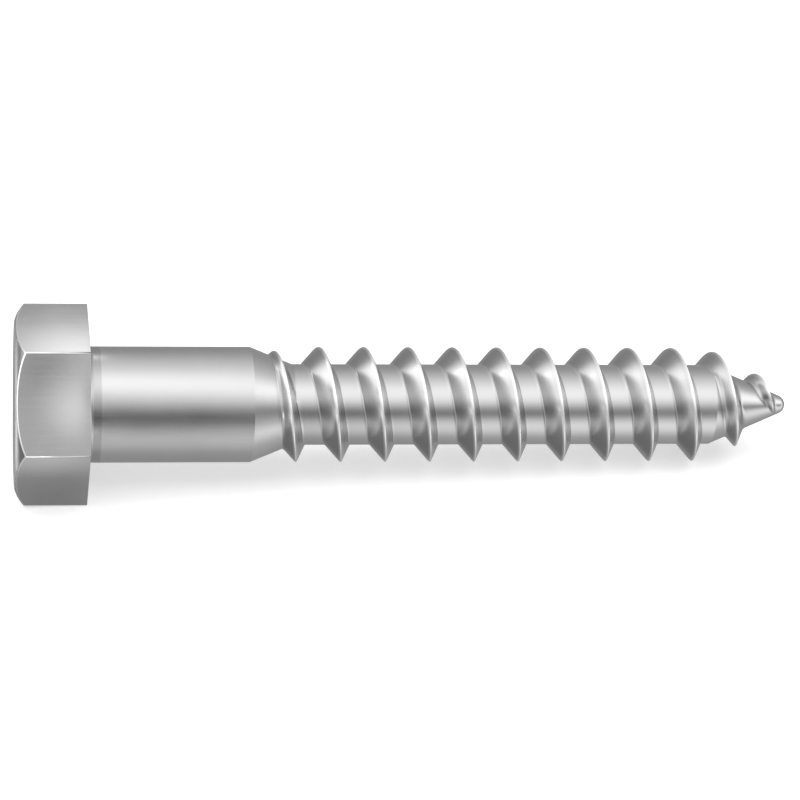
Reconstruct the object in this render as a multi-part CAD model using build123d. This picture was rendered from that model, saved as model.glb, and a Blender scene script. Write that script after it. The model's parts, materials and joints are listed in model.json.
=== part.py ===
"""Hex-head lag screw, 3/8 inch by 2-1/4 inch with 7 threads per inch, lying at rest on a surface.

The real screw is one piece: its hexagon head is forged on the end of a steel blank, and its thread and
gimlet point are rolled into the same blank. So it is one solid in one node.

The screw is built standing in its own frame. The middle of the bearing face under the head is at z = 0,
the shank and the point go up +Z, and the head goes down -Z. Angles about the axis are counted from +X by
the right-hand rule. It is then laid down as it comes to rest: on the bearing-face edge of one head flat
and on the last thread crest that reaches the surface, with the point a little lower than the head.
"""

import math
import os

from build123d import *

# Driving dimensions, in millimetres and degrees.

# Head
width_across_flats = 13.86
head_height = 5.74
top_circle_diameter = 13.1
head_chamfer_angle = 30.0
head_chamfer_bulge = 0.14
head_corner_radius = 0.2

# Shank
length_under_head = 57.15
shank_diameter = 9.23
shank_length = 12.9
taper_length = 3.4
under_head_bevel = 0.3

# Thread: the head-side flank leans more than the point-side flank
thread_pitch = 25.4 / 7
thread_major_diameter = 9.27
thread_root_diameter = 6.48
head_side_flank_angle = 41.0
point_side_flank_angle = 25.0
thread_start_angle = 238.0
run_in_setback = 1.0
run_in_rise = 3.1

# Gimlet point
point_half_angle = 22.5
point_end_radius = 0.8
point_thread_loss = 0.45
point_run_out = 1.4
point_run_out_gap = 0.65

# Building allowances
foot_depth = 0.4
crest_end_depth = 0.15
turns_per_stretch = 2
sections_per_turn = 12

# Sizes that follow from the driving dimensions
flat_radius = width_across_flats / 2
corner_radius = flat_radius / math.cos(math.radians(30))
shank_radius = shank_diameter / 2
root_radius = thread_root_diameter / 2
major_radius = thread_major_diameter / 2
thread_height = major_radius - root_radius
taper_end = shank_length + taper_length
point_slope = math.tan(math.radians(point_half_angle))
point_end_centre = length_under_head - point_end_radius
cone_end_radius = point_end_radius * math.cos(math.radians(point_half_angle))
cone_end = point_end_centre + point_end_radius * math.sin(math.radians(point_half_angle))
cone_start = cone_end - (root_radius - cone_end_radius) / point_slope
thread_start = shank_length + run_in_setback
thread_full = thread_start + run_in_rise
thread_end = length_under_head - point_run_out_gap


def core_radius(z):
    """Radius of the plain body under the thread at height z: shank, taper, root and point."""
    if z < shank_length:
        return shank_radius
    if z < taper_end:
        share = (z - shank_length) / taper_length
        return shank_radius + (root_radius - shank_radius) * share
    if z < cone_start:
        return root_radius
    return root_radius - (z - cone_start) * point_slope


def eased(value, start, end):
    """0 before start, 1 after end, and an S-shaped rise between them."""
    share = min(max((value - start) / (end - start), 0), 1)
    return share * share * (3 - 2 * share)


def crest_radius(z):
    """Radius of the thread crest at height z. At both ends the crest sinks just under the body."""
    if z < cone_start - thread_pitch:
        start_radius = core_radius(thread_start) - crest_end_depth
        rise = eased(z, thread_start - run_in_rise, thread_full) * 2 - 1
        return start_radius + (major_radius - start_radius) * max(rise, 0)
    loss = point_thread_loss * eased(z, cone_start - thread_pitch / 2, thread_end)
    fade = eased(z, thread_end - point_run_out, thread_end)
    height = (thread_height - loss) * (1 - fade) - crest_end_depth * fade
    return core_radius(z) + height


def foot_radius(z):
    """Radius of the thread's two feet at height z, buried in the body."""
    body_radius = core_radius(z) if z > cone_start else root_radius
    return body_radius - foot_depth


def crest_angle(z):
    """Angle about the axis, in degrees, at which the crest stands at height z."""
    return thread_start_angle + 360 * (z - thread_start) / thread_pitch


def on_screw(radius, angle, z):
    """A point given by its radius, its angle in degrees and its height."""
    turn = math.radians(angle)
    return Vector(radius * math.cos(turn), radius * math.sin(turn), z)


def thread_section(z):
    """The three corners of the thread ridge, cut along the axis, where its crest is at height z."""
    crest, foot, angle = crest_radius(z), foot_radius(z), crest_angle(z)
    head_side = (crest - foot) * math.tan(math.radians(head_side_flank_angle))
    point_side = (crest - foot) * math.tan(math.radians(point_side_flank_angle))
    return [
        on_screw(foot, angle, z - head_side),
        on_screw(crest, angle, z),
        on_screw(foot, angle, z + point_side),
    ]


def thread_stretch(start, end):
    """The solid of the thread ridge between two crest heights."""
    count = turns_per_stretch * sections_per_turn
    step = (end - start) / count
    sections = [Wire.make_polygon(thread_section(start + step * i), close=True) for i in range(count + 1)]
    return Solid.make_loft(sections)


def make_thread():
    """The whole thread ridge, as solids of about two turns each that meet end to end."""
    count = max(round((thread_end - thread_start) / (turns_per_stretch * thread_pitch)), 1)
    rise = (thread_end - thread_start) / count
    return [thread_stretch(thread_start + rise * i, thread_start + rise * (i + 1)) for i in range(count)]


def make_head():
    """The hexagon head: rounded corners, and a domed chamfer down to the top circle."""
    outline = RegularPolygon(flat_radius, 6, major_radius=False, rotation=30)
    outline = fillet(outline.vertices(), head_corner_radius)
    prism = extrude(outline, -head_height)
    top_radius = top_circle_diameter / 2
    rim_radius = corner_radius + head_corner_radius
    rim_drop = (rim_radius - top_radius) * math.tan(math.radians(head_chamfer_angle))
    chamfer_start = Vector(top_radius, -head_height)
    chamfer_end = Vector(rim_radius, rim_drop - head_height)
    across = (chamfer_end - chamfer_start).normalized()
    bulge = Vector(across.Y, -across.X) * head_chamfer_bulge
    chamfer = ThreePointArc(chamfer_start, (chamfer_start + chamfer_end) / 2 + bulge, chamfer_end)
    rest = Polyline(chamfer_end, (rim_radius, 0), (0, 0), (0, -head_height), chamfer_start)
    envelope = revolve(Plane.XZ * make_face([chamfer, rest]), Axis.Z)
    return prism & envelope


def make_body():
    """Everything under the head that is round: bevel, shank, taper, root and rounded point."""
    inside_head = -head_height / 2
    bevel_radius = shank_radius + under_head_bevel
    side = Polyline(
        (0, inside_head),
        (bevel_radius, inside_head),
        (bevel_radius, 0),
        (shank_radius, under_head_bevel),
        (shank_radius, shank_length),
        (root_radius, taper_end),
        (root_radius, cone_start),
        (cone_end_radius, cone_end),
    )
    halfway = math.radians(45 + point_half_angle / 2)
    end_middle = Vector(
        point_end_radius * math.cos(halfway), point_end_centre + point_end_radius * math.sin(halfway)
    )
    end = ThreePointArc((cone_end_radius, cone_end), end_middle, (0, length_under_head))
    axis = Line((0, length_under_head), (0, inside_head))
    return revolve(Plane.XZ * make_face([side, end, axis]), Axis.Z)


def resting_tilt():
    """How far the axis dips towards the point, in degrees, when a head flat's edge and a crest touch the surface."""
    underside = 180
    first_touch = thread_start + thread_pitch * (((underside - thread_start_angle) / 360) % 1)
    crests = int((thread_end - first_touch) / thread_pitch) + 1
    heights = [first_touch + thread_pitch * i for i in range(crests)]
    return min(math.degrees(math.atan2(flat_radius - crest_radius(z), z)) for z in heights)


def lay_down(screw):
    """The screw in its resting place: head at -X, point at +X, one flat down and the surface at z = 0."""
    tilt = math.radians(resting_tilt())
    resting = Plane(
        origin=(0, 0, flat_radius * math.cos(tilt)),
        x_dir=(math.sin(tilt), 0, math.cos(tilt)),
        z_dir=(math.cos(tilt), 0, -math.sin(tilt)),
    )
    laid = resting.location * screw
    return Location((-laid.bounding_box().center().X, 0, 0)) * laid


def make_screw():
    """The finished screw, standing in its own frame."""
    blank = make_head().solid().fuse(make_body().solid())
    return blank.fuse(*make_thread()).solid()


os.makedirs("parts", exist_ok=True)
export_step(lay_down(make_screw()), "parts/lag_screw.step")
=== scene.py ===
"""Looks of a hex-head lag screw at rest on a pale floor.

The screw is one forged and rolled piece of steel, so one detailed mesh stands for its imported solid. It is
built standing in its own frame, in millimetres: the middle of the bearing face is at z = 0, the head goes
down -Z, and the shank, the thread and the point go up +Z. Angles about the axis are counted from +X. The
packed mounts then say where it lies.
"""

import json
import logging
import math
from dataclasses import dataclass, field
from enum import Enum

import bmesh
import bpy
from mathutils import Matrix, Vector

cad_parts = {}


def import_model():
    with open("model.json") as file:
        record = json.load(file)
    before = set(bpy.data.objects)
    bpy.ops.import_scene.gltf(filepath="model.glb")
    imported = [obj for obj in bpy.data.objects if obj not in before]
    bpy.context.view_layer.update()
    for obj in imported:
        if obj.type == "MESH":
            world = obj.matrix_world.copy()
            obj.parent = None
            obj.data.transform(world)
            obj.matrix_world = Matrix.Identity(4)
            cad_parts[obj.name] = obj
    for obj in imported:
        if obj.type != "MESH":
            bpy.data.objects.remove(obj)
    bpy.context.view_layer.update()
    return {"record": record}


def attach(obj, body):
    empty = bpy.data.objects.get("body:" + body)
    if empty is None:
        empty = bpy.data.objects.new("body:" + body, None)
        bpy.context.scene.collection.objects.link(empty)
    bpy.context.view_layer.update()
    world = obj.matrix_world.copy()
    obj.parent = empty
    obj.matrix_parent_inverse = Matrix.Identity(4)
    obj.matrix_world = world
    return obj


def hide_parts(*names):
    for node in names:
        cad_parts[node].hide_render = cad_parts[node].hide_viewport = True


logging.basicConfig(level=logging.INFO, format="%(message)s")
log = logging.getLogger("lag_screw")

MILLIMETRE = 0.001
HAIR = 1e-4  # points closer than this, in millimetres, are one point
# name of each vertex's share of rubbing and painted highlight, on edges and crests
WEAR_AND_HIGHLIGHT = "wear_and_highlight"
WHITE = (1.0, 1.0, 1.0, 1.0)
Mesh = bmesh.types.BMesh
Vert = bmesh.types.BMVert
Edge = bmesh.types.BMEdge
Face = bmesh.types.BMFace
Piece = bpy.types.Object
Material = bpy.types.Material
Socket = bpy.types.NodeSocket
Feed = Socket | float | tuple[float, ...] | Vector
Bands = tuple[tuple[float, float], ...]


def eased(value: float, start: float, end: float) -> float:
    """S-shaped rise from 0 at the start to 1 at the end, and flat beyond them."""
    share = min(max((value - start) / (end - start), 0.0), 1.0)
    return share * share * (3.0 - 2.0 * share)


def filleted(first: float, second: float, width: float) -> float:
    """Larger of two heights, with a small fillet where they meet.

    Args:
        first: One height.
        second: The other height.
        width: How far apart the heights are where the fillet ends; 0 leaves the corner sharp.

    Returns:
        The height of the joined surface.
    """
    if width <= 0.0:
        return max(first, second)
    near = max(width - abs(first - second), 0.0) / width
    return max(first, second) + near * near * width / 4.0


def beside_axis(toward: Vector, radius: float, height: float) -> Vector:
    """The point at a radius and a height, on the side of the axis where another point lies."""
    outward = Vector((toward.x, toward.y, 0.0)).normalized()
    return outward * radius + Vector((0.0, 0.0, height))


def spun(bm: Mesh, points: list[Vector], steps: int, climb: float = 0.0) -> list[Vert]:
    """Spins a profile once round the axis.

    Args:
        bm: The mesh that gets the skin.
        points: The profile, from one end to the other.
        steps: How many steps make the turn.
        climb: How far the profile rises along the axis in the turn.

    Returns:
        The vertices of the skin.
    """
    before = set(bm.verts)
    verts = [bm.verts.new(point) for point in points]
    edges = [bm.edges.new(pair) for pair in zip(verts, verts[1:])]
    bmesh.ops.spin(
        bm,
        geom=verts + edges,
        cent=(0.0, 0.0, 0.0),
        axis=(0.0, 0.0, 1.0),
        dvec=(0.0, 0.0, climb / steps),
        angle=math.tau,
        steps=steps,
        use_merge=climb == 0.0,
        use_duplicate=False,
    )
    return [v for v in bm.verts if v not in before]


def turned(bm: Mesh, points: list[Vector], steps: int) -> list[Vert]:
    """Turns a profile round the axis, as on a lathe, and closes it where it touches the axis.

    Args:
        bm: The mesh that gets the turned skin.
        points: The profile in the plane y = 0, from one end to the other.
        steps: How many steps make a full turn.

    Returns:
        The vertices of the skin.
    """
    skin = spun(bm, points, steps)
    bmesh.ops.remove_doubles(bm, verts=skin, dist=HAIR)
    return [v for v in skin if v.is_valid]


def open_rim(bm: Mesh, height: float) -> list[Edge]:
    """The edges at one height along the axis that have only one face."""
    reach = 10.0 * HAIR
    return [e for e in bm.edges if e.is_boundary and all(abs(v.co.z - height) <= reach for v in e.verts)]


def placed(name: str, data: bpy.types.ID) -> Piece:
    """Puts a new object into the scene.

    Args:
        name: Its name.
        data: Its mesh, lamp or camera.

    Returns:
        The object, at the origin.
    """
    piece = bpy.data.objects.new(name, data)
    bpy.context.scene.collection.objects.link(piece)
    return piece


def as_piece(name: str, bm: Mesh, material: Material) -> Piece:
    """Turns a modelled mesh into an object in the scene.

    Args:
        name: Name of the object.
        bm: The modelled mesh, which is used up.
        material: What it is made of.

    Returns:
        The object.
    """
    mesh = bpy.data.meshes.new(name)
    bm.to_mesh(mesh)
    bm.free()
    mesh.materials.append(material)
    return placed(name, mesh)


@dataclass
class Resting:
    """Where the screw lies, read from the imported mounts.

    Attributes:
        bearing: The middle of the bearing face, in metres.
        along: The axis of the screw, from the head to the point.
    """

    bearing: Vector
    along: Vector

    @classmethod
    def from_record(cls, record: dict, head_height: float) -> "Resting":
        """Reads the axis from the mounts.

        Args:
            record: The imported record.
            head_height: Height of the head, in millimetres.

        Returns:
            The resting place.
        """
        mounts = {mount["name"]: mount for mount in record["mounts"]}
        along = Vector(mounts["shank"]["axis"]).normalized()
        drive = Vector(mounts["hex_drive"]["pos_m"])
        return cls(bearing=drive + along * (head_height / 2 * MILLIMETRE), along=along)

    def up(self) -> Vector:
        """The direction square to the axis that points most nearly up."""
        return (Vector((0.0, 0.0, 1.0)) - self.along * self.along.z).normalized()

    def facing(self, degrees: float) -> Vector:
        """The direction square to the axis, at some degrees above the horizon in front."""
        angle = math.radians(degrees)
        return Vector((0.0, -1.0, 0.0)) * math.cos(angle) + self.up() * math.sin(angle)

    def place(self, along: float, beside: Vector) -> Vector:
        """The place of a point some millimetres along the axis, from the bearing face, and beside it."""
        return self.bearing + (self.along * along + beside) * MILLIMETRE

    def matrix(self) -> Matrix:
        """Takes the screw's own frame, in millimetres, to its place, in metres."""
        up = self.up()
        side = self.along.cross(up)
        turn = Matrix((up, side, self.along)).transposed().to_4x4()
        return Matrix.Translation(self.bearing) @ turn @ Matrix.Scale(MILLIMETRE, 4)


@dataclass
class Shank:
    """The plain round body under the head, with its cone down to the thread's root.

    Attributes:
        diameter: Diameter of the plain body.
        length: Length of the plain body, from the bearing face.
        taper_length: Length of the cone that follows it.
        fillet: Radius of the fillet under the head.
        fillet_steps: Faces across the fillet.
    """

    diameter: float = 9.23
    length: float = 12.9
    taper_length: float = 3.4
    fillet: float = 0.3
    fillet_steps: int = 5

    @property
    def radius(self) -> float:
        """Radius of the plain body."""
        return self.diameter / 2

    @property
    def taper_end(self) -> float:
        """Height at which the cone has come down to the root."""
        return self.length + self.taper_length

    def fillet_profile(self) -> list[Vector]:
        """The fillet from the bearing face to the plain body, as points of the plane y = 0."""
        middle = self.radius + self.fillet
        turns = [math.pi / 2 * i / self.fillet_steps for i in range(self.fillet_steps + 1)]
        return [
            Vector((middle - self.fillet * math.sin(t), 0.0, self.fillet * (1 - math.cos(t))))
            for t in turns
        ]


@dataclass
class GimletPoint:
    """The cone at the end of the screw, and its rounded tip.

    Attributes:
        length_under_head: Distance from the bearing face to the very tip.
        half_angle: Half the angle of the cone, in degrees.
        end_radius: Radius of the ball at the tip.
        seam: How far before the ball the thread's skin ends and the tip's begins.
        ball_steps: Rows of faces from the seam to the tip.
    """

    length_under_head: float = 57.15
    half_angle: float = 22.5
    end_radius: float = 0.8
    seam: float = 0.05
    ball_steps: int = 12

    @property
    def slope(self) -> float:
        """How fast the cone's radius falls along the axis."""
        return math.tan(math.radians(self.half_angle))

    @property
    def ball_centre(self) -> float:
        """Height of the middle of the ball at the tip."""
        return self.length_under_head - self.end_radius

    @property
    def cone_end(self) -> float:
        """Height at which the cone runs into the ball."""
        return self.ball_centre + self.end_radius * math.sin(math.radians(self.half_angle))

    def cone_start(self, root_radius: float) -> float:
        """Height at which the cone leaves a root of some radius."""
        cone_end_radius = self.end_radius * math.cos(math.radians(self.half_angle))
        return self.cone_end - (root_radius - cone_end_radius) / self.slope

    def build(self, bm: Mesh, steps: int) -> None:
        """Turns the rounded tip.

        Args:
            bm: The mesh that gets the tip.
            steps: How many steps make a full turn.
        """
        first = math.radians(self.half_angle)
        turns = [first + (math.pi / 2 - first) * i / self.ball_steps for i in range(self.ball_steps + 1)]
        across = [self.end_radius * math.cos(t) for t in turns[:-1]] + [0.0]
        along = [self.ball_centre + self.end_radius * math.sin(t) for t in turns]
        turned(bm, [Vector((x, 0.0, z)) for x, z in zip(across, along)], steps)


@dataclass(frozen=True)
class Flank:
    """One side of the thread's ridge, with its share of the land beside it.

    Attributes:
        lean: Degrees by which it leans away from square to the axis.
        crest_round: Size of the round from the crest into it.
        wear_and_highlight: How far down from the crest it is rubbed and painted brighter, a painted
            highlight.
        rows: Where it has its points, as shares of the way up to the crest; below 0 is on the land.
        land_rows: Where the land has its points, as shares of its width, counted from the foot.
    """

    lean: float
    crest_round: float
    wear_and_highlight: float
    rows: tuple[float, ...]
    land_rows: tuple[float, ...]

    def foot(self, height: float) -> float:
        """How far from the crest its foot is, for a ridge of some height."""
        return height * math.tan(math.radians(self.lean))

    def drop(self, reach: float) -> float:
        """How far it has fallen below the crest at some distance along the axis."""
        straight = reach / math.tan(math.radians(self.lean))
        return math.hypot(straight, self.crest_round) - self.crest_round

    def reaches(self, height: float, land: float) -> list[float]:
        """How far from the crest its points are, the farthest first.

        Args:
            height: Height of the full ridge.
            land: Width of the land.

        Returns:
            The distances along the axis.
        """
        foot = self.foot(height)
        on_land = [foot + land * share for share in self.land_rows]
        return on_land + [foot * (1.0 - share) for share in self.rows]


@dataclass
class Thread:
    """The rolled wood thread and the core that carries it.

    The skin is one profile, a pitch long, spun up the axis. Each point of it is then set to the height
    that the core or the ridge has there, so that the ridge grows out of the cone behind it and dies out
    on the gimlet point.

    Attributes:
        shank: The plain body above it.
        point: The gimlet point below it.
        pitch: Axial distance from crest to crest.
        major_diameter: Diameter over the crests.
        root_diameter: Diameter of the lands between the ridges.
        head_side: The flank that faces the head.
        point_side: The steeper flank that faces the point and bears on the wood.
        start_angle: Degrees about the axis at which the crest starts.
        setback: How far behind the plain body the crest starts.
        rise: Length over which the crest climbs to its full height.
        sink: How far under the core the crest starts and ends.
        point_loss: Height that the ridge loses down the gimlet point.
        run_out: Length over which the ridge dies out.
        run_out_gap: Distance from the ridge's end to the very tip.
        root_fillet: Size of the fillet at the ridge's two feet.
        steps: Steps in a turn.
        lead_turns: Turns of plain skin before the crest starts.
        tail_turns: Turns of plain skin after it ends.
        least_spread: Least share of its full width that the ridge keeps where it dies out.
        least_core: Least radius of the core, past the point's cone.
        crease_reach: How far above the core the skin still takes part in its creases.
    """

    shank: Shank
    point: GimletPoint
    pitch: float = 25.4 / 7
    major_diameter: float = 9.27
    root_diameter: float = 6.48
    head_side: Flank = Flank(
        lean=41.0,
        crest_round=0.11,
        wear_and_highlight=0.16,
        rows=(0.0, 0.04, 0.1, 0.25, 0.45, 0.65, 0.82, 0.92, 0.96, 0.985),
        land_rows=(0.5, 0.38, 0.26, 0.15, 0.07, 0.03),
    )
    point_side: Flank = Flank(
        lean=25.0,
        crest_round=0.12,
        wear_and_highlight=0.55,
        rows=(-0.2, -0.1, 0.0, 0.1, 0.25, 0.4, 0.54, 0.66, 0.76, 0.84, 0.9, 0.95, 0.98),
        land_rows=(0.5, 0.38, 0.26, 0.15),
    )
    start_angle: float = 238.0
    setback: float = 1.0
    rise: float = 3.1
    sink: float = 0.15
    point_loss: float = 0.45
    run_out: float = 1.4
    run_out_gap: float = 0.65
    root_fillet: float = 0.05
    steps: int = 96
    lead_turns: int = 5
    tail_turns: float = 0.7
    least_spread: float = 0.3
    least_core: float = 0.3
    crease_reach: float = 0.06

    @property
    def root_radius(self) -> float:
        """Radius of the lands."""
        return self.root_diameter / 2

    @property
    def height(self) -> float:
        """Full height of the ridge above the lands."""
        return (self.major_diameter - self.root_diameter) / 2

    @property
    def land(self) -> float:
        """Width of the land between two full ridges."""
        return self.pitch - self.head_side.foot(self.height) - self.point_side.foot(self.height)

    @property
    def start(self) -> float:
        """Height along the axis at which the crest starts."""
        return self.shank.length + self.setback

    @property
    def end(self) -> float:
        """Height along the axis at which the crest ends."""
        return self.point.length_under_head - self.run_out_gap

    @property
    def cone_start(self) -> float:
        """Height along the axis at which the gimlet point starts."""
        return self.point.cone_start(self.root_radius)

    def core_radius(self, z: float) -> float:
        """Radius of the body under the ridge.

        Args:
            z: Height along the axis.

        Returns:
            The radius of the shank, cone, root or point there.
        """
        share = min(max((z - self.shank.length) / self.shank.taper_length, 0.0), 1.0)
        body = self.shank.radius + (self.root_radius - self.shank.radius) * share
        cone = self.root_radius - (z - self.cone_start) * self.point.slope
        return min(body, max(cone, self.least_core))

    def crest_radius(self, z: float) -> float:
        """Radius of the crest where it stands at one height.

        Args:
            z: Height of the crest along the axis.

        Returns:
            Its radius, a little under the core where there is no ridge.
        """
        if z < self.cone_start - self.pitch:
            if z < self.start:
                return self.core_radius(z) - self.sink
            foot = self.core_radius(self.start) - self.sink
            climb = eased(z, self.start - self.rise, self.start + self.rise) * 2.0 - 1.0
            return foot + (self.major_diameter / 2 - foot) * max(climb, 0.0)
        loss = self.point_loss * eased(z, self.cone_start - self.pitch / 2, self.end)
        fade = eased(z, self.end - self.run_out, self.end)
        return self.core_radius(z) + (self.height - loss) * (1.0 - fade) - self.sink * fade

    def offsets(self) -> list[float]:
        """Where the profile's points stand, measured along the axis from the crest."""
        left = [-reach for reach in self.head_side.reaches(self.height, self.land)]
        right = self.point_side.reaches(self.height, self.land)
        return left + [0.0] + right[::-1]

    def surface(self, crest: float, offset: float) -> tuple[float, float, float]:
        """Where one point of the profile goes.

        Args:
            crest: Height along the axis of the crest that it belongs to.
            offset: Its distance from that crest on the full ridge, along the axis.

        Returns:
            Its radius, its height along the axis, and its share of rubbing and painted highlight, from 0 to
            1.
        """
        flank = self.head_side if offset < 0 else self.point_side
        top = self.crest_radius(crest)
        standing = max(top - self.core_radius(crest), 0.0)
        share = min(max(standing / self.height, self.least_spread), 1.0)
        foot, half_land, reach = flank.foot(self.height), self.land / 2, abs(offset)
        if reach <= foot:
            reach *= share
        else:
            reach = foot * share + (reach - foot) * (half_land + foot * (1.0 - share)) / half_land
        z = crest + math.copysign(reach, offset)
        drop = flank.drop(reach)
        radius = filleted(self.core_radius(z), top - drop, min(self.root_fillet, standing))
        grown = min(2.0 * standing / self.height, 1.0)
        # rubbed and painted brighter near the crest: a painted highlight that fades down the flank
        return radius, z, max(1.0 - drop / flank.wear_and_highlight, 0.0) * grown

    def build(self, bm: Mesh, top: float, bottom: float) -> None:
        """Rolls the skin from under the head to the start of the tip.

        Args:
            bm: The mesh that gets the skin.
            top: Height along the axis at which the skin starts.
            bottom: Height along the axis at which it ends.
        """
        before = set(bm.verts)
        wear_and_highlight = bm.verts.layers.float[WEAR_AND_HIGHLIGHT]
        first = self.start - self.lead_turns * self.pitch
        offsets = self.offsets()
        lead = Matrix.Rotation(math.radians(self.start_angle), 3, "Z")
        profile = [lead @ Vector((self.root_radius, 0.0, first + offset)) for offset in offsets]
        spun(bm, profile, self.steps, self.pitch)
        turn = [f for f in bm.faces if f.verts[0] not in before]
        turns = math.ceil((self.end - first) / self.pitch + self.tail_turns)
        for number in range(1, turns):
            made = bmesh.ops.duplicate(bm, geom=turn)
            copied = [item for item in made["geom"] if isinstance(item, Vert)]
            bmesh.ops.translate(bm, verts=copied, vec=(0.0, 0.0, self.pitch * number))
        fresh = [v for v in bm.verts if v not in before]
        for v in fresh:
            angle = math.degrees(math.atan2(v.co.y, v.co.x)) - self.start_angle
            nearest = self.start + self.pitch * angle / 360.0
            pitches = math.ceil((v.co.z - offsets[-1] - nearest - HAIR) / self.pitch)
            crest = nearest + self.pitch * pitches
            radius, z, v[wear_and_highlight] = self.surface(crest, v.co.z - crest)
            v.co = beside_axis(v.co, radius, z)
        bmesh.ops.remove_doubles(bm, verts=fresh, dist=HAIR)
        for face in bm.faces:
            face.tag = face.verts[0] not in before
        for height in (self.shank.length, self.shank.taper_end, self.cone_start):
            self.crease(bm, height)
        self.cut(bm, top, -1.0)
        self.cut(bm, bottom, 1.0)

    def cut(self, bm: Mesh, height: float, outward: float) -> dict:
        """Cuts the skin, whose faces are tagged, square to the axis.

        Args:
            bm: The mesh that holds the skin.
            height: Height of the cut along the axis.
            outward: 1 to clear the metal towards the point, -1 towards the head, 0 to keep all of it.

        Returns:
            The operator's result, with the geometry on the cut.
        """
        skin = [f for f in bm.faces if f.tag]
        lines = list({e for f in skin for e in f.edges})
        points = list({v for f in skin for v in f.verts})
        return bmesh.ops.bisect_plane(
            bm,
            geom=points + lines + skin,
            dist=HAIR,
            plane_co=(0.0, 0.0, height),
            plane_no=(0.0, 0.0, outward or 1.0),
            clear_outer=outward != 0.0,
            clear_inner=False,
        )

    def crease(self, bm: Mesh, height: float) -> None:
        """Lays a crisp edge in the core where one of its skins meets the next.

        Args:
            bm: The mesh that holds the skin.
            height: Height of the edge along the axis.
        """
        core = self.core_radius(height)
        for item in self.cut(bm, height, 0.0)["geom_cut"]:
            if isinstance(item, Vert) and abs(math.hypot(item.co.x, item.co.y) - core) < self.crease_reach:
                item.co = beside_axis(item.co, core, item.co.z)
            elif isinstance(item, Edge):
                radii = [math.hypot(v.co.x, v.co.y) for v in item.verts]
                item.smooth = max(radii) > core + self.crease_reach


class Skin(Enum):
    """The skins of the head, each of which stays true next to its softened edges."""

    TOP = 1
    CHAMFER = 2
    SIDE = 3
    BEARING = 4


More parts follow.
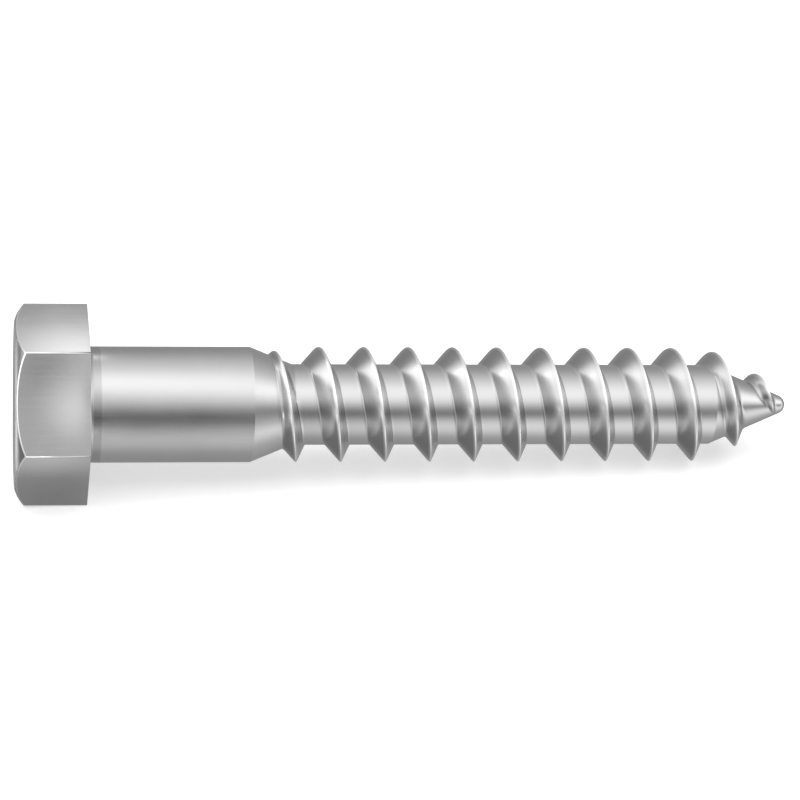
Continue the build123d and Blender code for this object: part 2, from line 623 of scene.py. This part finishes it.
@dataclass
class HexHead:
    """The forged hexagon head.

    Attributes:
        across_flats: Width across the flats.
        height: Height of the head.
        top_circle: Diameter of the flat circle on top.
        chamfer_angle: Angle of the chamfer round the top, in degrees.
        chamfer_bulge: How far the chamfer domes out of a plain cone.
        dome_overreach: How far past the sharp corners the chamfer's dome would end.
        edge_size: How far the chamfer's edges and the six long corners are softened.
        edge_steps: Faces across a softened edge.
        true_margin: Width of the strip beside a softened edge that takes up its shading.
        steps: Steps in a turn, a multiple of 12.
        chamfer_rows: Rows of faces down the chamfer.
        row_step: How far apart the blank has these rows, until they are spread down the chamfer.
        side_lean: Most of a side's normal that may lie along the axis.
        top_lean: Least of the flat top's normal that lies along it.
    """

    across_flats: float = 13.86
    height: float = 5.74
    top_circle: float = 13.1
    chamfer_angle: float = 30.0
    chamfer_bulge: float = 0.14
    dome_overreach: float = 0.2
    edge_size: float = 0.09
    edge_steps: int = 3
    true_margin: float = 0.02
    steps: int = 96
    chamfer_rows: int = 6
    row_step: float = 0.1
    side_lean: float = 0.1
    top_lean: float = 0.999

    @property
    def flat_radius(self) -> float:
        """Distance from the axis to a flat."""
        return self.across_flats / 2

    @property
    def top_radius(self) -> float:
        """Radius of the flat circle on top."""
        return self.top_circle / 2

    def outline_radius(self, angle: float) -> float:
        """Distance from the axis to the hexagon, corners sharp, at an angle in radians."""
        from_flat = (angle + math.pi / 6) % (math.pi / 3) - math.pi / 6
        return self.flat_radius / math.cos(from_flat)

    def chamfer_drop(self, radius: float) -> float:
        """How far the domed chamfer lies below the top.

        Args:
            radius: Distance from the axis.

        Returns:
            The drop, in millimetres.
        """
        corner = self.flat_radius / math.cos(math.radians(30))
        share = (radius - self.top_radius) / (corner + self.dome_overreach - self.top_radius)
        lean = math.radians(self.chamfer_angle)
        straight = (radius - self.top_radius) * math.tan(lean)
        return straight - self.chamfer_bulge / math.cos(lean) * 4.0 * share * (1.0 - share)

    def blank_profile(self, shank: Shank) -> list[tuple[float, Vector]]:
        """The round blank's profile, before it is pressed into a hexagon.

        Args:
            shank: The shank that the bearing face runs into.

        Returns:
            For each point: its share of the way from the top circle out to the hexagon, and its place.
        """
        rows = [(0.0, Vector((0.0, 0.0, -self.height)))]
        for number in range(self.chamfer_rows):
            step = number * self.row_step
            place = Vector((self.top_radius + step, 0.0, step - self.height))
            rows.append((number / self.chamfer_rows, place))
        rows += [(1.0, Vector((self.flat_radius, 0.0, z))) for z in (-self.height / 2, 0.0)]
        return rows + [(0.0, place) for place in shank.fillet_profile()]

    def build(self, bm: Mesh, shank: Shank) -> None:
        """Forges the head: turns a blank, presses it into a hexagon and softens its edges.

        Args:
            bm: The mesh that gets the head.
            shank: The shank under it.
        """
        rows = self.blank_profile(shank)
        head = turned(bm, [place for _, place in rows], self.steps)
        for v in head:
            radius = math.hypot(v.co.x, v.co.y)
            share, _ = min(rows, key=lambda row: math.hypot(row[1].x - radius, row[1].z - v.co.z))
            if share > 0.0:
                outline = self.outline_radius(math.atan2(v.co.y, v.co.x))
                reach = self.top_radius + (outline - self.top_radius) * share
                z = v.co.z if v.co.z > -HAIR else self.chamfer_drop(reach) - self.height
                v.co = beside_axis(v.co, reach, z)
        self.soften(bm, set(head))

    def skin_of(self, face: Face) -> tuple[Skin, int]:
        """Which skin of the head a face belongs to.

        Args:
            face: A face of the head.

        Returns:
            The skin, and for a side the number of its flat.
        """
        normal = face.normal
        if abs(normal.z) < self.side_lean:
            return Skin.SIDE, round(math.degrees(math.atan2(normal.y, normal.x)) / 60) % 6
        if face.calc_center_median().z > -self.height / 2:
            return Skin.BEARING, 0
        return (Skin.TOP, 0) if abs(normal.z) > self.top_lean else (Skin.CHAMFER, 0)

    def soften(self, bm: Mesh, head: set[Vert]) -> None:
        """Rounds the head's edges and keeps the skins beside them true.

        Args:
            bm: The mesh that holds the head.
            head: The head's vertices.
        """
        faces = [f for f in bm.faces if f.verts[0] in head]
        bmesh.ops.recalc_face_normals(bm, faces=faces)
        edges = {e for f in faces for e in f.edges if not e.is_boundary}
        sharp = [e for e in edges if self.skin_of(e.link_faces[0]) != self.skin_of(e.link_faces[1])]
        corners = [e for e in sharp if all(self.skin_of(f)[0] is Skin.SIDE for f in e.link_faces)]
        rims = [e for e in sharp if e not in corners and max(v.co.z for v in e.verts) < -self.edge_size]
        made = bmesh.ops.bevel(
            bm,
            geom=rims + corners,
            offset=self.edge_size,
            offset_type="OFFSET",
            affect="EDGES",
            segments=self.edge_steps,
            profile=0.5,
            clamp_overlap=True,
            material=-1,
        )
        soft = set(made["faces"])
        wear_and_highlight = bm.verts.layers.float[WEAR_AND_HIGHLIGHT]
        # the softened edges, all but those by the bearing face, are rubbed and painted brighter: a painted
        # highlight
        for v in {v for f in soft for v in f.verts}:
            v[wear_and_highlight] = 1.0 if v.co.z < -2.0 * self.edge_size else 0.0
        groups: dict[tuple[Skin, int], list[Face]] = {}
        for face in bm.faces:
            if face not in soft:
                face.normal_update()
                groups.setdefault(self.skin_of(face), []).append(face)
        for group in groups.values():
            bmesh.ops.inset_region(
                bm, faces=group, thickness=self.true_margin, use_even_offset=True, use_boundary=False
            )
            for v in {v for f in group for v in f.verts}:
                v[wear_and_highlight] = 0.0


@dataclass
class NodeBoard:
    """A node tree, with short calls to add nodes and join them."""

    tree: bpy.types.NodeTree

    def add(self, kind: str, *terms: Feed, **settings: object) -> bpy.types.Node:
        """Adds a node.

        Args:
            kind: The node's type.
            terms: What its inputs take, in order.
            settings: Its settings, by name.

        Returns:
            The node.
        """
        node = self.tree.nodes.new(kind)
        for name, value in settings.items():
            setattr(node, name, value)
        for socket, term in zip(node.inputs, terms):
            self.feed(socket, term)
        return node

    def feed(self, target: Socket, source: Feed) -> None:
        """Joins a socket to another one, or sets its value.

        Args:
            target: The input socket.
            source: What it takes.
        """
        if isinstance(source, Socket):
            self.tree.links.new(source, target)
        else:
            target.default_value = source

    def math(self, operation: str, *terms: Feed, clamp: bool = False) -> Socket:
        """Works out a number from others, clamped to 0 to 1 if asked."""
        return self.add("ShaderNodeMath", *terms, operation=operation, use_clamp=clamp).outputs[0]

    def total(self, start: Feed, *products: tuple[Feed, Feed]) -> Feed:
        """Adds products to a number.

        Args:
            start: The number.
            products: The two factors of each product.

        Returns:
            The number with all of them added.
        """
        for first, second in products:
            start = self.math("MULTIPLY_ADD", first, second, start)
        return start

    def spread(self, source: Feed, low: float, high: float, to_low: float, to_high: float) -> Socket:
        """Carries a number smoothly from one range to another, and keeps it there."""
        terms = (source, low, high, to_low, to_high)
        return self.add("ShaderNodeMapRange", *terms, interpolation_type="SMOOTHSTEP").outputs[0]

    def noise(self, place: Socket, scale: float, detail: float) -> Socket:
        """A cloudy pattern.

        Args:
            place: Where it is read.
            scale: How fine it is.
            detail: How many finer layers it has.

        Returns:
            Its height, from -0.5 to 0.5.
        """
        node = self.add("ShaderNodeTexNoise", place)
        node.inputs["Scale"].default_value = scale
        node.inputs["Detail"].default_value = detail
        return self.math("SUBTRACT", node.outputs["Fac"], 0.5)

    def own_place(self) -> Socket:
        """The piece's Object coordinates."""
        return self.add("ShaderNodeTexCoord").outputs["Object"]

    def away(self, middle: Vector) -> Socket:
        """How far the piece's own coordinates are from a point, along each axis."""
        return self.add("ShaderNodeVectorMath", self.own_place(), middle, operation="SUBTRACT").outputs[0]

    def nearness(self, middle: Vector, reach: tuple[float, float, float]) -> Socket:
        """How near a point is, fading smoothly away from it.

        Args:
            middle: The point.
            reach: How far from it the nearness has gone, along each axis.

        Returns:
            1 at the point, and 0 from the reach on.
        """
        shares = self.add("ShaderNodeVectorMath", self.away(middle), reach, operation="DIVIDE")
        length = self.add("ShaderNodeVectorMath", shares.outputs[0], operation="LENGTH")
        return self.spread(length.outputs["Value"], 0.0, 1.0, 1.0, 0.0)

    def glow(self, strength: Feed) -> Socket:
        """White light of a given strength."""
        return self.add("ShaderNodeEmission", WHITE, strength).outputs[0]

    def show(self, *shaders: Socket) -> None:
        """Adds up one shader or two and shows them on the surface."""
        shown = shaders[0] if len(shaders) == 1 else self.add("ShaderNodeAddShader", *shaders).outputs[0]
        self.add("ShaderNodeOutputMaterial", shown)


def bare_material(name: str) -> tuple[Material, NodeBoard]:
    """Makes a material that has no nodes yet.

    Args:
        name: Name of the material.

    Returns:
        The material, and the board for its nodes.
    """
    material = bpy.data.materials.new(name)
    material.use_nodes = True
    material.node_tree.nodes.clear()
    return material, NodeBoard(material.node_tree)


@dataclass(frozen=True)
class SteelFinish:
    """Bright rolled steel: fine lines, faint blotches, a band of painted shade next to the head, and rubbed
    edges and crests with a painted highlight; sizes in millimetres.

    Attributes:
        name: Name of the material.
        color: Colour of the clean metal.
        roughness: Roughness of the clean metal.
        blotch_scale: Blotches per millimetre.
        blotch_depth: How much the blotches change the colour and the roughness.
        line_scale: Drawn and rolled lines per millimetre.
        line_depth: How much the lines change the colour; the roughness changes by twice that.
        line_stretch: How fine the drawn lines are along the axis, against across it.
        grain_scale: Grains per millimetre.
        grain_share: Height of the grain against that of the lines.
        relief: Height of the lines, in metres.
        head_shade_reach: How far from the bearing face the band of painted shade, the head's shade on the
            shank, reaches.
        head_shade_start: How far from the bearing face the band has its full tone.
        head_shade_edge: Half the width over which it ends.
        head_shade_depth: How much darker the painted shade makes the band.
        painted_highlight_gain: How much brighter the rubbed edges and crests are painted, a painted
            highlight.
        worn_scuff: How much rougher the rubbed metal is.
    """

    name: str = "bright_steel"
    color: tuple[float, float, float] = (0.5, 0.5, 0.5)
    roughness: float = 0.21
    blotch_scale: float = 0.3
    blotch_depth: float = 0.05
    line_scale: float = 7.0
    line_depth: float = 0.04
    line_stretch: float = 0.03
    grain_scale: float = 9.0
    grain_share: float = 0.5
    relief: float = 0.5e-6
    head_shade_reach: float = 0.95
    head_shade_start: float = 0.05
    head_shade_edge: float = 0.06
    head_shade_depth: float = 0.2
    painted_highlight_gain: float = 0.8
    worn_scuff: float = 0.08

    def screw_place(self, board: NodeBoard, resting: Resting) -> Socket:
        """Coordinates in the screw's own frame, in millimetres.

        Args:
            board: The material's nodes.
            resting: Where the screw lies.

        Returns:
            The coordinates.
        """
        place, turn, _ = resting.matrix().decompose()
        terms = (board.own_place(), place, turn.to_euler(), (MILLIMETRE,) * 3)
        return board.add("ShaderNodeMapping", *terms, vector_type="TEXTURE").outputs[0]

    def rolled_place(self, board: NodeBoard, own: Socket, pitch: float) -> Socket:
        """Coordinates that stay the same along the thread, so that a pattern on them follows the helix.

        Args:
            board: The material's nodes.
            own: Coordinates in the screw's own frame.
            pitch: The thread's pitch.

        Returns:
            The distance from the axis, and a circle that is run through once a pitch.
        """
        x, y, z = board.add("ShaderNodeSeparateXYZ", own).outputs
        turn = board.math("ARCTAN2", y, x)
        phase = board.math("SUBTRACT", board.math("MULTIPLY", z, math.tau / pitch), turn)
        radius = board.math("SQRT", board.total(board.math("MULTIPLY", x, x), (y, y)))
        circle = [
            board.math("MULTIPLY", board.math(wave, phase), pitch / math.tau) for wave in ("COSINE", "SINE")
        ]
        return board.add("ShaderNodeCombineXYZ", radius, *circle).outputs[0]

    def material(self, resting: Resting, thread: Thread) -> Material:
        """Builds the material.

        Args:
            resting: Where the screw lies, to line the pattern up with its axis.
            thread: The thread whose helix the rolled lines follow.

        Returns:
            The material.
        """
        material = bpy.data.materials.new(self.name)
        material.use_nodes = True
        board = NodeBoard(material.node_tree)
        shader = material.node_tree.nodes["Principled BSDF"]
        own = self.screw_place(board, resting)
        height = board.add("ShaderNodeSeparateXYZ", own).outputs["Z"]
        drawn_place = board.add("ShaderNodeMapping", own, vector_type="POINT")
        drawn_place.inputs["Scale"].default_value = (1.0, 1.0, self.line_stretch)
        drawn = board.noise(drawn_place.outputs[0], self.line_scale, detail=2.0)
        rolled = board.noise(self.rolled_place(board, own, thread.pitch), self.line_scale, detail=2.0)
        on_thread = board.spread(height, thread.shank.length, thread.start, 0.0, 1.0)
        lines = board.total(drawn, (on_thread, board.math("SUBTRACT", rolled, drawn)))
        blotch = board.noise(own, self.blotch_scale, detail=3.0)
        grain = board.noise(own, self.grain_scale, detail=4.0)
        wear_and_highlight = board.add("ShaderNodeAttribute", attribute_name=WEAR_AND_HIGHLIGHT).outputs["Fac"]
        # darker band next to the bearing face: painted shade of the head on the shank
        begun = board.spread(height, 0.0, self.head_shade_start, 0.0, 1.0)
        ended = board.spread(height, self.head_shade_reach - self.head_shade_edge, self.head_shade_reach + self.head_shade_edge, 1.0, 0.0)
        head_shaded = board.math("MULTIPLY", begun, ended)
        blotched = (blotch, self.blotch_depth * 2.0)
        head_shade_term = (head_shaded, -self.head_shade_depth)
        # the colour takes the blotches, the lines, the band of painted shade by the head and a painted
        # highlight on rubbed edges and crests
        shade = board.total(1.0, blotched, (lines, self.line_depth), head_shade_term, (wear_and_highlight, self.painted_highlight_gain))
        tint = board.add("ShaderNodeVectorMath", self.color, operation="SCALE")
        board.feed(tint.inputs["Scale"], shade)
        board.feed(shader.inputs["Base Color"], tint.outputs[0])
        scuffed = (wear_and_highlight, self.worn_scuff)
        rough = board.total(self.roughness, blotched, (lines, self.line_depth * 2.0), scuffed)
        board.feed(shader.inputs["Roughness"], rough)
        bump = board.add("ShaderNodeBump")
        bump.inputs["Distance"].default_value = self.relief
        board.feed(bump.inputs["Height"], board.total(lines, (grain, self.grain_share)))
        board.feed(shader.inputs["Normal"], bump.outputs[0])
        shader.inputs["Metallic"].default_value = 1.0
        return material


@dataclass
class LagScrew:
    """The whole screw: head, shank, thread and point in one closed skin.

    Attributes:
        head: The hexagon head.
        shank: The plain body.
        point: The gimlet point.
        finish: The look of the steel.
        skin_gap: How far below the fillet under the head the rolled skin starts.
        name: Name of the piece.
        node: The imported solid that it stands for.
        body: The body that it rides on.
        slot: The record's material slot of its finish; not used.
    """

    head: HexHead = field(default_factory=HexHead)
    shank: Shank = field(default_factory=Shank)
    point: GimletPoint = field(default_factory=GimletPoint)
    finish: SteelFinish = field(default_factory=SteelFinish)
    skin_gap: float = 0.1
    name: str = "steel_lag_screw"
    node: str = "lag_screw"
    body: str = "root"
    slot: str = "steel"

    def build(self, resting: Resting) -> None:
        """Builds and dresses the screw where it rests.

        Args:
            resting: Where the screw lies.
        """
        bm = bmesh.new()
        bm.verts.layers.float.new(WEAR_AND_HIGHLIGHT)
        thread = Thread(self.shank, self.point)
        top = self.shank.fillet + self.skin_gap
        bottom = self.point.cone_end - self.point.seam
        self.head.build(bm, self.shank)
        thread.build(bm, top, bottom)
        self.point.build(bm, thread.steps)
        for upper, lower in ((self.shank.fillet, top), (bottom, self.point.cone_end)):
            bmesh.ops.bridge_loops(bm, edges=open_rim(bm, upper) + open_rim(bm, lower))
        bmesh.ops.recalc_face_normals(bm, faces=bm.faces)
        for face in bm.faces:
            face.smooth = True
        bm.transform(resting.matrix())
        loose = sum(1 for e in bm.edges if not e.is_manifold)
        log.info("%s: %d faces, %d open or stray edges", self.name, len(bm.faces), loose)
        piece = as_piece(self.name, bm, self.finish.material(resting, thread))
        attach(piece, self.body)
        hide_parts(self.node)


@dataclass
class Viewpoint:
    """The camera, which faces one flat of the head from above the floor; its sizes are in millimetres.

    Attributes:
        aim: Distance along the axis from the bearing face to where the camera aims.
        above: Angle above the horizon, about the screw's axis, in degrees.
        yaw: Angle by which the camera stands towards the head, in degrees.
        distance: Distance from the aim.
        lens: Focal length.
        sensor: Width of the sensor.
        across: Sideways move of the camera.
        raised: Upward move of the camera.
    """

    aim: float = 25.7
    above: float = 30.0
    yaw: float = 9.0
    distance: float = 220.0
    lens: float = 122.7
    sensor: float = 36.0
    across: float = -0.6
    raised: float = 0.358

    def build(self, resting: Resting) -> None:
        """Sets the camera up.

        Args:
            resting: Where the screw lies.
        """
        swing = math.radians(self.yaw)
        square = resting.facing(self.above)
        back = square * math.cos(swing) - resting.along * math.sin(swing)
        right = square * math.sin(swing) + resting.along * math.cos(swing)
        upward = back.cross(right)
        beside = right * self.across + upward * self.raised + back * self.distance
        data = bpy.data.cameras.new("camera")
        data.lens = self.lens
        data.sensor_width = self.sensor
        data.clip_start, data.clip_end = 0.01, 10.0
        camera = placed("camera", data)
        turn = Matrix((right, upward, back)).transposed().to_4x4()
        camera.matrix_world = Matrix.Translation(resting.place(self.aim, beside)) @ turn
        bpy.context.scene.camera = camera


class Made(Enum):
    """Which rays a studio piece is made for."""

    FOR_LIGHT = "light"
    FOR_GLOSS = "gloss"

    def apply(self, piece: Piece) -> None:
        """Hides a studio piece from the rays that it isn't made for.

        Args:
            piece: The lamp, the tent or the card.
        """
        piece.visible_camera = False
        piece.visible_glossy = self is Made.FOR_GLOSS
        piece.visible_diffuse = self is Made.FOR_LIGHT
        piece.visible_shadow = self is Made.FOR_LIGHT
        piece.visible_transmission = False
        piece.visible_volume_scatter = False


@dataclass(frozen=True)
class Lamp:
    """A rectangular softbox.

    Attributes:
        name: Name of the lamp.
        place: Where it stands, in metres.
        size: Its width and height, in metres.
        glow: How bright its face is, where 1 is white.
    """

    name: str
    place: tuple[float, float, float]
    size: tuple[float, float]
    glow: float

    def build(self, aim: Vector) -> None:
        """Hangs the lamp.

        Args:
            aim: The point that it faces.
        """
        data = bpy.data.lights.new(self.name, "AREA")
        data.shape = "RECTANGLE"
        data.size, data.size_y = self.size
        data.energy = self.glow * math.pi * self.size[0] * self.size[1]
        lamp = placed(self.name, data)
        lamp.location = self.place
        lamp.rotation_euler = (Vector(self.place) - aim).to_track_quat("Z", "Y").to_euler()
        Made.FOR_LIGHT.apply(lamp)


@dataclass(frozen=True)
class LightPatch:
    """A soft patch on the tent, brighter or darker than the cloth round it.

    Attributes:
        azimuth: Where it is round the screw, in degrees: 0 in front, 90 past the point.
        elevation: How high it is, in degrees.
        reach: How far it spreads from its middle, in metres.
        gain: How much brighter it is than the tent round it; below 0 it is darker.
    """

    azimuth: float
    elevation: float
    reach: float
    gain: float

    def direction(self) -> Vector:
        """The direction of its middle."""
        turn, rise = math.radians(self.azimuth), math.radians(self.elevation)
        level = math.cos(rise)
        return Vector((level * math.sin(turn), -level * math.cos(turn), math.sin(rise)))


@dataclass(frozen=True)
class Tent:
    """A round light tent: bright above, shaded in front, behind and below, as the metal mirrors it.

    Attributes:
        radius: Its radius, in metres.
        left: Its tones past the head, each with its degrees above the horizon in front.
        middle: Its tones straight over the screw, over the same degrees.
        right: Its tones past the point, over the same degrees.
        left_blend: Where the left part goes over into the middle, as shares of the radius.
        right_blend: Where the middle goes over into the right part.
        patches: Its brighter and darker patches.
        brightest: The brightest tone that the cloth holds.
    """

    radius: float = 0.8
    left: Bands = (
        (-90.0, 0.27), (-75.0, 0.38), (-58.0, 0.65), (-42.0, 0.85), (-30.0, 0.8), (-12.0, 0.55),
        (2.0, 0.55), (20.0, 0.95), (37.0, 1.35), (52.0, 1.5), (67.0, 1.3), (97.0, 1.05),
        (127.0, 0.75), (157.0, 0.48), (172.0, 0.36), (202.0, 0.32), (235.0, 0.24),
        (270.0, 0.27),
    )
    middle: Bands = (
        (-90.0, 0.5), (-72.0, 0.62), (-50.0, 0.82), (-32.0, 0.72), (-15.0, 0.4), (-2.0, 0.2),
        (10.0, 0.24), (22.0, 0.52), (34.0, 0.88), (46.0, 1.25), (58.0, 1.68), (70.0, 1.95),
        (84.0, 1.88), (97.0, 1.5), (112.0, 1.2), (129.0, 0.92), (150.0, 0.6), (175.0, 0.42),
        (200.0, 0.38), (235.0, 0.38), (270.0, 0.5),
    )
    right: Bands = (
        (-90.0, 0.6), (-75.0, 0.75), (-60.0, 1.05), (-45.0, 1.35), (-30.0, 1.4), (-15.0, 1.0),
        (-2.0, 0.5), (10.0, 0.45), (24.0, 0.9), (37.0, 1.4), (52.0, 1.7), (67.0, 1.7),
        (82.0, 1.5), (97.0, 1.25), (112.0, 1.0), (135.0, 0.7), (157.0, 0.52), (187.0, 0.42),
        (235.0, 0.4), (270.0, 0.6),
    )
    left_blend: tuple[float, float] = (-0.35, -0.05)
    right_blend: tuple[float, float] = (0.06, 0.18)
    patches: tuple[LightPatch, ...] = (
        LightPatch(-110.0, 17.0, 0.4, 1.6),
        LightPatch(-90.0, 0.0, 0.35, 0.8),
        LightPatch(-137.0, -24.0, 0.28, 1.2),
        LightPatch(39.0, -17.0, 0.3, -0.6),
        LightPatch(46.0, 27.0, 0.35, -0.3),
        LightPatch(84.0, 31.0, 0.35, 0.4),
        LightPatch(84.0, -8.0, 0.4, 0.4),
    )
    brightest: float = 2.0

    def build(self, aim: Vector) -> None:
        """Pitches the tent.

        Args:
            aim: Its middle, a point of the screw's axis.
        """
        bm = bmesh.new()
        middle = Matrix.Translation(aim)
        bmesh.ops.create_uvsphere(bm, u_segments=64, v_segments=32, radius=self.radius, matrix=middle)
        tent = as_piece("tent", bm, self.material(aim))
        Made.FOR_GLOSS.apply(tent)

    def cloth(self, board: NodeBoard, degrees: Socket, bands: Bands) -> Socket:
        """The brightness of one part of the tent.

        Args:
            board: The material's nodes.
            degrees: The angle above the horizon in front.
            bands: The part's angles and tones.

        Returns:
            The tone, as a share of the brightest.
        """
        first, last = bands[0][0], bands[-1][0]
        ramp = board.add(
            "ShaderNodeValToRGB", board.math("DIVIDE", board.math("SUBTRACT", degrees, first), last - first)
        )
        ramp.color_ramp.interpolation = "CARDINAL"
        stops = ramp.color_ramp.elements  # a new ramp has two
        for number, (angle, tone) in enumerate(bands):
            share = (angle - first) / (last - first)
            stop = stops[number] if number < 2 else stops.new(share)
            stop.position = share
            stop.color = (tone / self.brightest,) * 3 + (1.0,)
        return ramp.outputs[0]

    def material(self, aim: Vector) -> Material:
        """The tent's glowing cloth.

        Args:
            aim: Its middle.

        Returns:
            The material.
        """
        material, board = bare_material("tent_cloth")
        material.cycles.emission_sampling = "NONE"
        along, across, height = board.add("ShaderNodeSeparateXYZ", board.away(aim)).outputs
        turn = board.math("ARCTAN2", height, board.math("MULTIPLY", across, -1.0))
        low, high = self.left[0][0], self.left[-1][0]
        degrees = board.math("WRAP", board.math("DEGREES", turn), high, low)
        share = board.math("DIVIDE", along, self.radius)
        tone = self.cloth(board, degrees, self.left)
        for bands, blend in ((self.middle, self.left_blend), (self.right, self.right_blend)):
            step = board.math("SUBTRACT", self.cloth(board, degrees, bands), tone)
            tone = board.total(tone, (board.spread(share, *blend, 0.0, 1.0), step))
        glow = board.math("MULTIPLY", tone, self.brightest)
        for patch in self.patches:
            near = board.nearness(aim + patch.direction() * self.radius, (patch.reach,) * 3)
            glow = board.total(glow, (near, patch.gain))
        board.show(board.glow(glow))
        return material


@dataclass(frozen=True)
class HeadCard:
    """A small soft card, lit or shaded, which one flat of the head mirrors; its sizes are in millimetres.

    Attributes:
        name: Name of the card.
        flat: The angle at which the flat faces, above the horizon in front, in degrees.
        along: Where the card's middle shows on the flat, from the bearing face.
        up: How far up the flat it shows there, from the flat's middle.
        distance: How far the card is from the flat.
        reach: How far it spreads along the screw and across it.
        gain: How much light it adds at its middle, or below 0 the share that it takes away.
        cut: Where its side towards the point ends, from the bearing face.
    """

    name: str
    flat: float
    along: float
    up: float
    distance: float
    reach: tuple[float, float]
    gain: float
    cut: float = 0.2

    def build(self, resting: Resting, head: HexHead, slope: float) -> None:
        """Hangs the card.

        Args:
            resting: Where the screw lies.
            head: The head beside it.
            slope: The camera's angle above the horizon, in degrees.
        """
        outward, upward = resting.facing(self.flat), resting.facing(self.flat + 90.0)
        mirrored = resting.facing(2.0 * self.flat - slope)
        spot = outward * head.flat_radius + upward * self.up + mirrored * self.distance
        middle = resting.place(self.along, spot)
        turn = mirrored.to_track_quat("Z", "Y").to_matrix().to_4x4()
        bm = bmesh.new()
        bmesh.ops.create_circle(
            bm,
            cap_ends=True,
            segments=48,
            radius=max(self.reach) * MILLIMETRE,
            matrix=Matrix.Translation(middle) @ turn,
        )
        bmesh.ops.bisect_plane(
            bm,
            geom=bm.verts[:] + bm.edges[:] + bm.faces[:],
            plane_co=resting.place(self.cut, Vector()),
            plane_no=(1.0, 0.0, 0.0),
            clear_outer=True,
        )
        card = as_piece(self.name, bm, self.material(middle))
        Made.FOR_GLOSS.apply(card)

    def material(self, middle: Vector) -> Material:
        """The card's soft film, which fades out towards its rim.

        Args:
            middle: The card's middle.

        Returns:
            The material.
        """
        material, board = bare_material(self.name)
        material.cycles.emission_sampling = "NONE"
        along, across = (value * MILLIMETRE for value in self.reach)
        share = board.nearness(middle, (along, across, across))
        kept = board.total(1.0, (share, min(self.gain, 0.0)))
        film = board.add("ShaderNodeBsdfTransparent", kept).outputs[0]
        board.show(film, board.glow(board.math("MULTIPLY", share, max(self.gain, 0.0))))
        return material


@dataclass
class Studio:
    """A pale floor, a white surround, a soft lamp, a light tent and small cards beside the head.

    Attributes:
        floor_size: Side of the floor, in metres.
        floor_tone: Colour of the floor.
        floor_lift: How much of the floor's white doesn't depend on the lamps.
        fill: How bright the surround lights the object, where 1 is white.
        lamp: The softbox overhead.
        tent: The light tent.
        head_cards: The small cards beside the head.
    """

    floor_size: float = 4.0
    floor_tone: float = 0.8
    floor_lift: float = 0.5
    fill: float = 0.45
    lamp: Lamp = Lamp("overhead", (0.0, -0.06, 0.4), (0.9, 0.45), 1.6)
    tent: Tent = field(default_factory=Tent)
    head_cards: tuple[HeadCard, ...] = (
        HeadCard("top_card", 90.0, 0.6, -4.9, 20.0, (11.0, 4.2), 1.75, 2.2),
        HeadCard("face_card", 30.0, -0.9, 0.2, 8.0, (3.6, 4.2), 0.7),
        HeadCard("face_flag", 30.0, -3.1, 2.9, 8.0, (5.2, 5.0), -0.42),
        HeadCard("edge_card", 0.0, -2.9, 0.0, 8.0, (8.0, 3.2), 2.6),
        HeadCard("foot_card", -30.0, -3.4, 4.2, 6.0, (9.0, 2.2), 0.45),
        HeadCard("foot_flag", -30.0, -2.5, -3.0, 6.0, (9.0, 5.0), -0.3),
    )

    def build(self, resting: Resting, head: HexHead, slope: float) -> None:
        """Lays the floor and hangs the lamp, the tent and the cards.

        Args:
            resting: Where the screw lies.
            head: The screw's head.
            slope: The camera's angle above the horizon, in degrees.
        """
        aim = Vector((0.0, 0.0, resting.bearing.z))
        bm = bmesh.new()
        bmesh.ops.create_grid(bm, x_segments=8, y_segments=8, size=self.floor_size / 2)
        floor = as_piece("floor", bm, self.floor_material())
        floor.visible_glossy = False  # the metal mirrors the tent
        self.surround()
        self.lamp.build(aim)
        self.tent.build(aim)
        for card in self.head_cards:
            card.build(resting, head, slope)
        log.info("studio: floor, surround, lamp, tent and %d cards", len(self.head_cards))

    def seen(self, board: NodeBoard) -> Socket:
        """Tells which rays show the background, directly or in gloss or glass.

        Args:
            board: The nodes that need it.

        Returns:
            1 for these rays, 0 for those that light.
        """
        path = board.add("ShaderNodeLightPath")
        gloss = board.math("ADD", path.outputs["Is Glossy Ray"], path.outputs["Is Transmission Ray"])
        return board.math("ADD", path.outputs["Is Camera Ray"], gloss, clamp=True)

    def surround(self) -> None:
        """The world: white where it is seen, a plain fill where it lights."""
        world = bpy.data.worlds.new("surround")
        world.use_nodes = True
        board = NodeBoard(world.node_tree)
        background = world.node_tree.nodes["Background"]
        background.inputs["Color"].default_value = WHITE
        strength = board.total(self.fill, (self.seen(board), 1.0 - self.fill))
        board.feed(background.inputs["Strength"], strength)
        bpy.context.scene.world = world

    def floor_material(self) -> Material:
        """The pale floor, white where it is seen in full light, with the object's shadow on it."""
        material, board = bare_material("pale_floor")
        matt = board.add("ShaderNodeBsdfDiffuse", (self.floor_tone,) * 3 + (1.0,)).outputs[0]
        board.show(matt, board.glow(board.math("MULTIPLY", self.seen(board), self.floor_lift)))
        return material


def corners(bounds: tuple[Vector, Vector]) -> list[list[float]]:
    """The two corners of a box as plain lists of numbers."""
    return [[float(value) for value in corner] for corner in bounds]


def main() -> None:
    """Builds the screw, the studio and the camera."""
    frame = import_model()
    screw = LagScrew()
    resting = Resting.from_record(frame["record"], screw.head.height)
    screw.build(resting)
    viewpoint = Viewpoint()
    viewpoint.build(resting)
    Studio().build(resting, screw.head, viewpoint.above)
    bpy.context.scene.view_settings.view_transform = "Standard"


if __name__ == "__main__":
    main()
